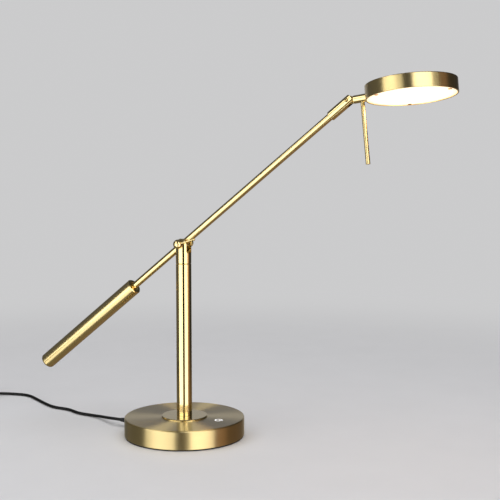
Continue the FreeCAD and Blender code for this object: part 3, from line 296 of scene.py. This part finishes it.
def circuit(name, colour, tracks):
    """Lacquered board with faint copper tracks under the lacquer."""
    g = Graph(name, Roughness=0.35)
    place = g.place()
    grid = g.node(
        "ShaderNodeTexBrick", Vector=place, Scale=180.0, Color1=colour, Color2=colour,
        Mortar=tracks,
    )
    g.surface(Base_Color=g.mix(g.noise(place, 60.0, 3.0, 0.5), grid, colour))
    return g


CORE_GLOW = (20.0, 11.8, 7.6)   # emission in the middle of the lit disc
EDGE_GLOW = (1.0, 0.76, 0.42)   # and at its rim
CORE_FALL = 1.5                 # how fast the one gives way to the other


def opal(name):
    """Lit opal plastic: brightest in the middle, warmer and dimmer at the edge."""
    g = Graph(name, Roughness=0.4, Base_Color=(0.6, 0.56, 0.5), Emission_Strength=1.0)
    place = g.place()
    from_centre = g.vector("SUBTRACT", place, tuple(HEAD_CENTRE))
    across = g.vector("CROSS_PRODUCT", from_centre, tuple(HEAD_AXIS))
    radius = g.vector("LENGTH", across)
    core = g.math("POWER", g.remap(radius, 0.0, LIT_RADIUS, 1.0, 0.0), CORE_FALL)
    mottle = g.remap(g.noise(place, 70.0, 2.0, 0.5), 0.3, 0.7, 0.96, 1.04)
    g.surface(Emission_Color=g.vector("SCALE", g.mix(core, EDGE_GLOW, CORE_GLOW), mottle))
    return g


# ---- dressing the solids --------------------------------------------------------------------

POLISHED = brass("polished brass", 0.1)
SMALL = brass("small polished brass", 0.11, 0.04)
PLATED = steel("plated steel")

# Each node's material. The number after a name, axis or colour is its roughness, and a second
# one in along() and spun() is how far a highlight stretches across the lines.
DRESS = {
    "base_shell": spun("spun foot", ORIGIN, UP, 0.41, 1.0),
    "centre_plate": brass("turned plate", 0.24),
    "foot_ring": along("turned ring", ORIGIN, UP, 0.07),
    "column_tube": along("column brass", ORIGIN, UP, 0.09),
    "fork_head": along("fork brass", ORIGIN, UP, 0.09),
    "arm_tube": along("arm brass", PIVOT, ARM_AXIS, 0.14),
    "rear_rod": along("rear rod brass", PIVOT, ARM_AXIS, 0.14),
    "counterweight": along("counterweight brass", PIVOT, ARM_AXIS, 0.22, 0.3),
    "knuckle_sleeve": along("sleeve brass", PIVOT, ARM_AXIS, 0.11),
    "stem": along("stem brass", HINGE, STEM_AXIS, 0.11),
    "handle_rod": brass("handle brass", 0.3),
    "head_shell": spun("spun head", HEAD_CENTRE, HEAD_AXIS, 0.31, 0.9),
    "arm_hub": SMALL,
    "pivot_bolt": POLISHED,
    "clamp_knob": POLISHED,
    "clamp_lever": SMALL,
    "hinge_screw": SMALL,
    "diffuser": opal("lit opal"),
    "diffuser_screws": brass("reddish brass", 0.25, 0.05, REDDISH, REDDISH_DEEP),
    "base_weight": iron("cast iron"),
    "bottom_cover": PLATED,
    "cover_screws": PLATED,
    "touch_contact": PLATED,
    "column_foot_plug": PLATED,
    "column_nipple": PLATED,
    "nipple_washer": PLATED,
    "nipple_nut": PLATED,
    "swivel_clip": PLATED,
    "swivel_grub_screw": PLATED,
    "stem_nut": PLATED,
    "heat_spreader": steel("bare aluminium", (0.8, 0.81, 0.82), 0.4),
    "plug_pins": steel("nickel", (0.74, 0.72, 0.68), 0.2),
    "foot_pad": plastic("foot rubber", (0.018, 0.018, 0.018), 0.75, 700.0, 0.4, 0.2 * MM),
    "strain_relief": plastic("relief rubber", (0.012, 0.012, 0.0125), 0.5),
    "cord_tie": plastic("tie plastic", (0.014, 0.014, 0.015), 0.5),
    "power_plug": plastic("plug plastic", (0.016, 0.016, 0.017), 0.42, 2200.0, 0.3),
    "mains_inner_lead": plastic("lead sheath", (0.02, 0.02, 0.02), 0.5),
    "column_lead": plastic("clear lead", (0.5, 0.5, 0.46), 0.35),
    "arm_lead": plastic("arm lead", (0.5, 0.5, 0.46), 0.35),
    "swivel_bush": plastic("bush polymer", (0.03, 0.028, 0.025), 0.4),
    "friction_washers": plastic("washer polymer", (0.03, 0.028, 0.025), 0.45),
    "dimmer_board": circuit("green board", (0.02, 0.16, 0.07), (0.2, 0.36, 0.14)),
    "led_board": circuit("white board", (0.8, 0.8, 0.78), (0.62, 0.6, 0.5)),
}

for node, graph in DRESS.items():
    piece = frame["nodes"][node]
    piece.data.materials.clear()
    piece.data.materials.append(graph.material)


# ---- new pieces -----------------------------------------------------------------------------

def link_object(name, data):
    """A new object for a mesh, curve, light or camera, placed in the scene."""
    made = bpy.data.objects.new(name, data)
    bpy.context.scene.collection.objects.link(made)
    return made


def mesh_piece(name, vertices, faces, material):
    """A new flat-shaded mesh with one material."""
    mesh = bpy.data.meshes.new(name)
    mesh.from_pydata([tuple(v) for v in vertices], [], faces)
    mesh.update()
    mesh.materials.append(material)
    return link_object(name, mesh)


def band(inner, outer, start, end, steps, centre, thickness):
    """Flat arc of a ring, lying on the foot's top, as vertices and faces."""
    vertices = []
    faces = []
    for k in range(steps + 1):
        angle = math.radians(start + (end - start) * k / steps)
        way = Vector((math.cos(angle), math.sin(angle), 0))
        for radius, height in ((inner, 0), (outer, 0), (outer, thickness), (inner, thickness)):
            vertices.append(centre + way * radius + UP * height)
    for k in range(steps):
        a = 4 * k
        for side in range(4):
            b = (side + 1) % 4
            faces.append((a + side, a + b, a + 4 + b, a + 4 + side))
    faces.append((0, 3, 2, 1))
    last = 4 * steps
    faces.append((last, last + 1, last + 2, last + 3))
    return vertices, faces


def slab(centre, along_way, half_long, half_wide, thickness):
    """Thin bar lying on the foot's top."""
    side = UP.cross(along_way)
    corners = [centre + along_way * a * half_long + side * b * half_wide
               for a, b in ((-1, -1), (1, -1), (1, 1), (-1, 1))]
    vertices = corners + [c + UP * thickness for c in corners]
    faces = [(3, 2, 1, 0), (4, 5, 6, 7), (0, 1, 5, 4), (1, 2, 6, 5), (2, 3, 7, 6), (3, 0, 4, 7)]
    return vertices, faces


SIGN_CENTRE = Vector((45.2 * MM, 1.4 * MM, BASE_TOP))
SIGN_RING = (3.4 * MM, 4.7 * MM)                # inner and outer radius
SIGN_GAP = 35                                   # degrees to each side of the bar
SIGN_BAR_OUT = 2.9 * MM                         # from the ring's centre to the bar's
SIGN_BAR = (2.6 * MM, 0.65 * MM)                # half its length and half its width
SIGN_STEPS = 48                                 # straight pieces round the ring
SIGN_GLOW = 0.55                                # painted glow that keeps the print white in the foot's shade
PRINT_THICKNESS = 0.03 * MM


def touch_symbol():
    """Printed power sign over the touch contact: an open ring and a bar, with a faint painted
    glow.
    """
    white = plastic("white print with painted glow", (0.86, 0.86, 0.85), 0.4, 2500.0, 0.1, 0.02 * MM, 1.1)
    # The print's white emission is painted light: the print is no lamp.
    white.surface(Emission_Color=(1.0, 1.0, 1.0), Emission_Strength=SIGN_GLOW)
    vertices, faces = band(
        *SIGN_RING, SIGN_GAP, 360 - SIGN_GAP, SIGN_STEPS, SIGN_CENTRE, PRINT_THICKNESS,
    )
    more, more_faces = slab(
        SIGN_CENTRE + FRONT * SIGN_BAR_OUT, FRONT, *SIGN_BAR, PRINT_THICKNESS,
    )
    shift = len(vertices)
    vertices += more
    faces += [tuple(i + shift for i in face) for face in more_faces]
    made = mesh_piece("touch_symbol", vertices, faces, white.material)
    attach(made, "base")


touch_symbol()


# ---- the mains cord -------------------------------------------------------------------------

# The route is the one in the part's source. Its lengths are in millimetres.
CORD_DIAMETER = 3.6
COIL_LOW = 2.4                  # the cord's middle in the lowest layer, above the table
COIL_HEADING = 205.0            # degrees, of the run into the coil
LAST_RUN = 20.0
COIL_INNER_RADIUS = 14.6
COIL_STEP = 4.75                # from one turn to the next in a layer
COIL_LAYER_STEP = 4.5
COIL_LAYERS = 4
COIL_HALF_TURNS = 5             # in each layer
HALVES = COIL_LAYERS * COIL_HALF_TURNS + COIL_LAYERS - 1    # with one more for each step up
HALF_POINTS = 8                 # points to a half turn
SPREAD = 1 / math.cos(math.pi / (2 * HALF_POINTS))          # the spline runs inside its points
TAIL_RUNS = (15.0, 23.0, 15.0)  # along the coil's top, down to the table, and into the plug
PLUG_MIDDLE = 6.85              # above the table

ROUTE = [
    (-90.0, 0.0, 7.5),
    (-101.0, 0.0, 7.5),
    (-114.0, 6.0, 5.6),
    (-132.0, 15.6, 3.0),
    (-150.0, 19.2, 1.8),
    (-172.0, 20.4, 1.8),
    (-192.0, 31.0, 1.8),
    (-217.0, 30.0, 1.8),
    (-242.0, 42.0, 1.8),
    (-268.0, 57.0, 1.8),
    (-292.0, 69.5, 1.8),
    (-315.0, 65.5, 1.8),
    (-337.0, 54.5, COIL_LOW),
]


def heading(degrees):
    return Vector((math.cos(math.radians(degrees)), math.sin(math.radians(degrees)), 0))


def coil_points():
    """The coil's turns, 16 points to a turn: in, up, out, up, in, up and out again."""
    entry = Vector(ROUTE[-1]) + heading(COIL_HEADING) * (LAST_RUN + CORD_DIAMETER)
    outer = COIL_INNER_RADIUS + COIL_STEP * COIL_HALF_TURNS / 2
    centre = entry + heading(COIL_HEADING + 90) * outer
    stations = [(outer, 0.0)]
    radius, height = stations[0]
    for layer in range(COIL_LAYERS):
        step = -COIL_STEP / 2 if layer % 2 == 0 else COIL_STEP / 2
        for _ in range(COIL_HALF_TURNS):
            radius += step
            stations.append((radius, height))
        if layer < COIL_LAYERS - 1:
            height += COIL_LAYER_STEP
            stations.append((radius, height))
    points = []
    for index in range(HALVES):
        (r0, z0), (r1, z1) = stations[index], stations[index + 1]
        last = index == HALVES - 1
        for k in range(HALF_POINTS // 2 + 1 if last else HALF_POINTS):
            share = k / HALF_POINTS
            angle = COIL_HEADING - 90 + 180 * (index + share)
            spot = centre + heading(angle) * (r0 + (r1 - r0) * share) * SPREAD
            points.append(spot + UP * (z0 + (z1 - z0) * share))
    return points


def cord_points():
    """The whole route: from the foot to the coil, its turns, and the tail down to the plug."""
    turns = coil_points()
    way = heading(COIL_HEADING + 180 * HALVES - 90)
    spot = turns[-1] + way * CORD_DIAMETER
    knee = spot + way * TAIL_RUNS[0]
    foot = knee + way * TAIL_RUNS[1]
    foot.z = PLUG_MIDDLE
    tip = foot + way * TAIL_RUNS[2]
    entry = Vector(ROUTE[-1]) + heading(COIL_HEADING) * LAST_RUN
    return [Vector(p) for p in ROUTE] + [entry] + turns + [spot, knee, foot, tip]


def mains_cord():
    """One smooth cord in place of the route's three solids."""
    points = [p * MM for p in cord_points()]
    curve = bpy.data.curves.new("mains_cord", "CURVE")
    curve.dimensions = "3D"
    spline = curve.splines.new("NURBS")
    spline.points.add(len(points) - 1)
    for target, point in zip(spline.points, points):
        target.co = (*point, 1.0)
    spline.order_u = 3
    spline.use_endpoint_u = True
    curve.resolution_u = 10
    curve.bevel_depth = CORD_DIAMETER / 2 * MM
    curve.bevel_resolution = 5
    curve.use_fill_caps = True
    sheath = plastic("cord sheath", (0.003, 0.003, 0.003), 0.5, 1800.0, 0.12)
    curve.materials.append(sheath.material)
    made = link_object("mains_cord", curve)
    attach(made, "base")
    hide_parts("power_cord", "cord_coil", "plug_lead")


mains_cord()


# ---- stage ----------------------------------------------------------------------------------

BACKDROP = (0.60, 0.60, 0.606)
FLOOR_HALF = 30.0
FLOOR_DROP = 0.2 * MM           # keeps the floor and the pad's underside apart
FADE = (0.4, 1.3)               # where the floor starts and ends its change to the backdrop
ROOM_RADIUS = 6.0


def floor_material():
    """Pale table that fades into the plain backdrop away from the lamp."""
    g = Graph("table", Roughness=0.62, Specular_IOR_Level=0.25)
    place = g.place()
    grain = g.noise(place, 14.0, 4.0, 0.55)
    g.surface(Base_Color=g.mix(grain, (0.62, 0.62, 0.625), (0.66, 0.66, 0.665)))
    far = g.node("ShaderNodeEmission", Color=BACKDROP, Strength=1.0)
    away = g.remap(g.vector("LENGTH", place), *FADE)
    away.node.interpolation_type = "SMOOTHERSTEP"
    both = g.node("ShaderNodeMixShader", i0=away, i1=g.shader, i2=far)
    g.feed(g.output.inputs["Surface"], both)
    return g.material


def room_material():
    """Dim walls, palest behind and darkest in front, with a warm patch on the right.

    Below them lies a dull brown in place of the table, warmer on the right.
    """
    g = Graph(
        "room", Roughness=1.0, Base_Color=(0, 0, 0), Specular_IOR_Level=0.0,
        Emission_Strength=1.0,
    )
    way = g.vector("NORMALIZE", g.place())

    def towards(place, low, high):
        """0 to 1 as the way comes nearer to a place, between two cosines."""
        return g.remap(g.vector("DOT_PRODUCT", way, tuple(studio(*place))), low, high)

    shade = g.mix(towards((-1, 0, 0), 0.0, 0.9), (0.03, 0.03, 0.03), (0.1, 0.1, 0.1))
    shade = g.mix(towards((0.961, -0.276, 0), 0.95, 0.985), shade, (0.55, 0.33, 0.25))
    shade = g.mix(towards((0, 1, 0), 0.8, 0.97), shade, (0.38, 0.38, 0.385))
    shade = g.mix(towards((0, -1, 0), 0.6, 0.9), shade, (0.012, 0.012, 0.012))
    shade = g.mix(towards((0, 0, 1), 0.5, 0.9), shade, (0.12, 0.12, 0.122))
    ground = g.mix(towards((1, 0, 0), -0.2, 0.8), (0.16, 0.145, 0.11), (0.26, 0.165, 0.1))
    shade = g.mix(towards((0, 0, -1), 0.17, 0.27), shade, ground)
    g.surface(Emission_Color=shade)
    return g.material


def room():
    """Studio walls that only show in reflections and bounce a little light."""
    mesh = bpy.data.meshes.new("room")
    build = bmesh.new()
    bmesh.ops.create_icosphere(build, subdivisions=4, radius=ROOM_RADIUS)
    bmesh.ops.reverse_faces(build, faces=build.faces)
    build.to_mesh(mesh)
    build.free()
    mesh.materials.append(room_material())
    made = link_object("room", mesh)
    made.visible_camera = False


def aim(made, place, way):
    """Put a light or the camera in its place, looking one way with its top up."""
    made.location = place
    made.rotation_mode = "QUATERNION"
    made.rotation_quaternion = way.to_track_quat("-Z", "Y")


def softbox(name, middle, way, width, height, radiance):
    light = bpy.data.lights.new(name, "AREA")
    light.shape = "RECTANGLE"
    light.size = width
    light.size_y = height
    light.energy = radiance * math.pi * width * height
    light.color = (1.0, 1.0, 1.02)
    made = link_object(name, light)
    aim(made, middle, way)
    made.visible_camera = False
    return made


def upright_softbox(name, start, end, low, high, radiance):
    """A softbox that stands on the line from one place to another and faces the lamp."""
    middle = studio((start[0] + end[0]) / 2, (start[1] + end[1]) / 2, (low + high) / 2)
    run = studio(*end, 0) - studio(*start, 0)
    facing = Vector((-run.y, run.x, 0))
    if facing.dot(-middle) < 0:
        facing = -facing
    softbox(name, middle, facing, run.length, high - low, radiance)


def floor_sheet(material):
    """The table, left out of reflections, which show the studio's lights and walls instead."""
    corners = [(x * FLOOR_HALF, y * FLOOR_HALF, -FLOOR_DROP)
               for x, y in ((-1, -1), (1, -1), (1, 1), (-1, 1))]
    made = mesh_piece("table", corners, [(0, 1, 2, 3)], material)
    made.visible_glossy = False
    made.visible_shadow = False


# Name, the two ends as right and away, the low and high edge, and the brightness. Lights reach
# below the table, because the brass mirrors them in the table's place.
SOFTBOXES = (
    ("left softbox", (-1.55, -0.47), (-0.29, -1.109), -0.32, 0.6, 2.1),
    ("left softbox below", (-1.50, -0.80), (-0.26, -1.109), -1.5, -0.32, 1.35),
    ("left softbox above", (-1.50, -0.2), (-0.75, -0.91), 0.85, 1.9, 2.1),
    ("right softbox", (0.27, -1.109), (1.75, -1.0), -1.4, 0.5, 2.1),
    ("right softbox above", (0.13, -1.109), (1.19, -1.109), 0.5, 1.9, 2.1),
)
OVERHEAD_PLACE = studio(0.0, 0.5, 2.4)
OVERHEAD_SIZE = (3.5, 3.0)
OVERHEAD_BRIGHTNESS = 1.6


def stage():
    floor_sheet(floor_material())
    for values in SOFTBOXES:
        upright_softbox(*values)
    overhead = softbox(
        "overhead softbox", OVERHEAD_PLACE, -UP, *OVERHEAD_SIZE, OVERHEAD_BRIGHTNESS,
    )
    overhead.visible_glossy = False
    room()


def world():
    made = bpy.data.worlds.new("studio")
    bpy.context.scene.world = made
    made.use_nodes = True
    backdrop = made.node_tree.nodes["Background"]
    backdrop.inputs["Color"].default_value = (*BACKDROP, 1)
    backdrop.inputs["Strength"].default_value = 1.0


CAMERA_PLACE = studio(0.07667, -1.2, 0.3248)            # fitted to the photograph
CAMERA_DOWN = math.radians(5.10)
CAMERA_LENS = 75.15             # millimetres, on a sensor 36 mm wide


def camera():
    data = bpy.data.cameras.new("camera")
    data.lens = CAMERA_LENS
    data.sensor_width = 36.0
    data.clip_start = 0.01
    data.clip_end = 100.0
    made = link_object("camera", data)
    aim(made, CAMERA_PLACE, studio(0, math.cos(CAMERA_DOWN), -math.sin(CAMERA_DOWN)))
    bpy.context.scene.camera = made


stage()
world()
camera()
bpy.context.scene.view_settings.view_transform = "Standard"
